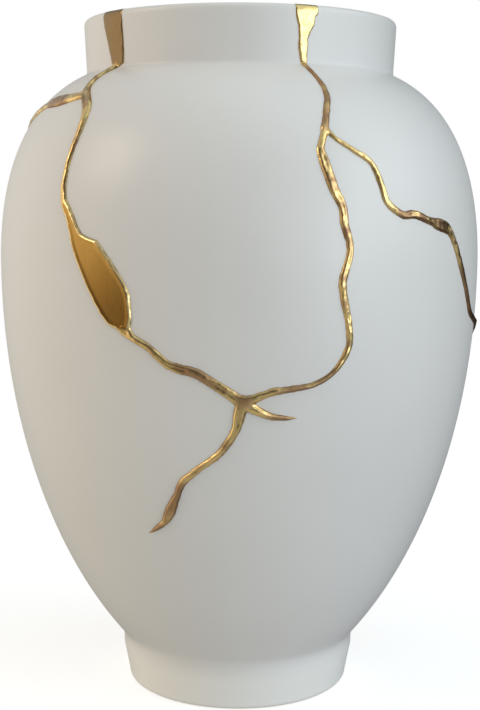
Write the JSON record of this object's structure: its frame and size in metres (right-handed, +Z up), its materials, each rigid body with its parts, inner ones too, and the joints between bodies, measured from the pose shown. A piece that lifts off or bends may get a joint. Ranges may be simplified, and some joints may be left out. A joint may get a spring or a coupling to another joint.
{
  "type": "mended ceramic vase",
  "caption": "High-shouldered white ceramic vase with a short straight collar and a small foot, broken and mended with raised gold seams; it holds flowers or stands as an ornament.",
  "frame": {"origin": "centre of the foot's underside, on the vase's axis", "axes": "+Z up the vase's axis, -Y towards the mended front, +X to the right of a viewer at the front"},
  "size_m": [0.215, 0.215, 0.3],
  "materials": {
    "ceramic": "satin white glaze, eggshell sheen",
    "gold": "raised gold lacquer, glossy"
  },
  "bodies": {
    "root": {"vase_body": "ceramic", "front_shard": "ceramic", "gold_seams": "gold"}
  },
  "joints": []
}
